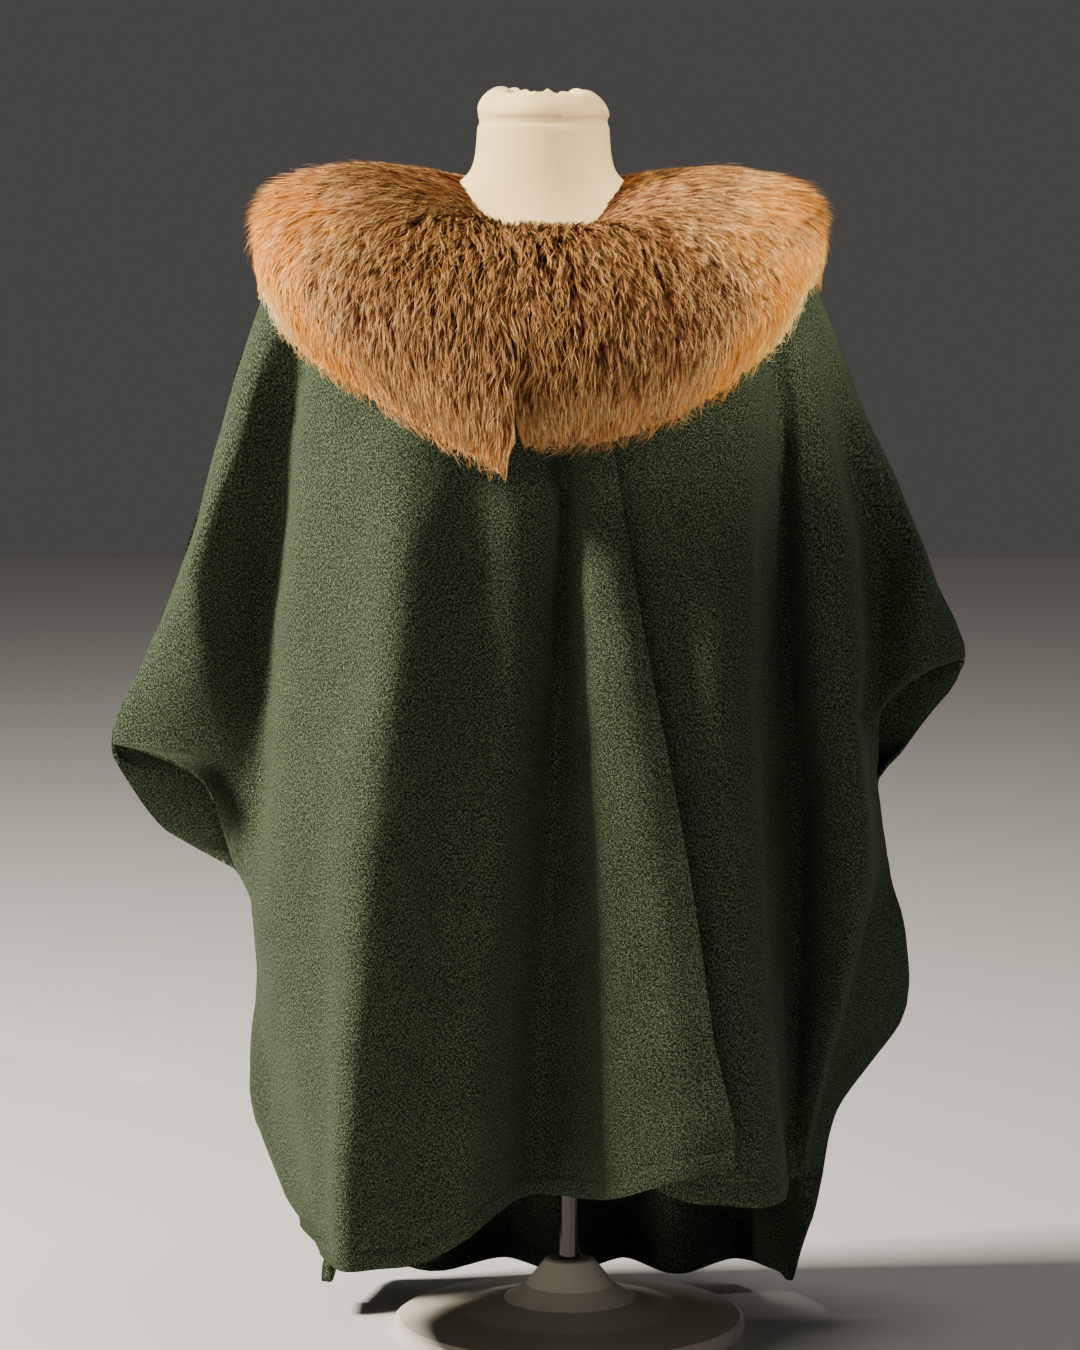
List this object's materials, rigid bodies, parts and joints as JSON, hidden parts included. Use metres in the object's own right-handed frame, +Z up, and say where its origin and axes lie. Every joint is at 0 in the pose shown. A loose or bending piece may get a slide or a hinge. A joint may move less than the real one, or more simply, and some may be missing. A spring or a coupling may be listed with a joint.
{
  "type": "loden poncho with fur collar on a dress form",
  "caption": "Wide felted wool poncho with sleeve-like sides, wrapped front and round fur collar, worn by a limbless dress form on a pole and round foot.",
  "frame": {"origin": "middle of the underside of the foot, where the form stands on the floor", "axes": "+Z up, the garment's front faces -Y, the wearer's right side is at -X"},
  "size_m": [0.768, 0.4096, 1.119],
  "materials": {
    "loden": "felted dark green melange wool with short pale fibres",
    "fur": "long red fox fur, ticked brown near the neck, pale at the tips",
    "jersey": "cream knitted cover",
    "pole": "polished",
    "foot": "cream satin"
  },
  "bodies": {
    "root": {"right_front": "loden", "left_front": "loden", "back": "loden", "collar_right": "fur", "collar_left": "fur", "form_body": "jersey", "form_pole": "pole", "form_base": "foot"}
  },
  "joints": []
}
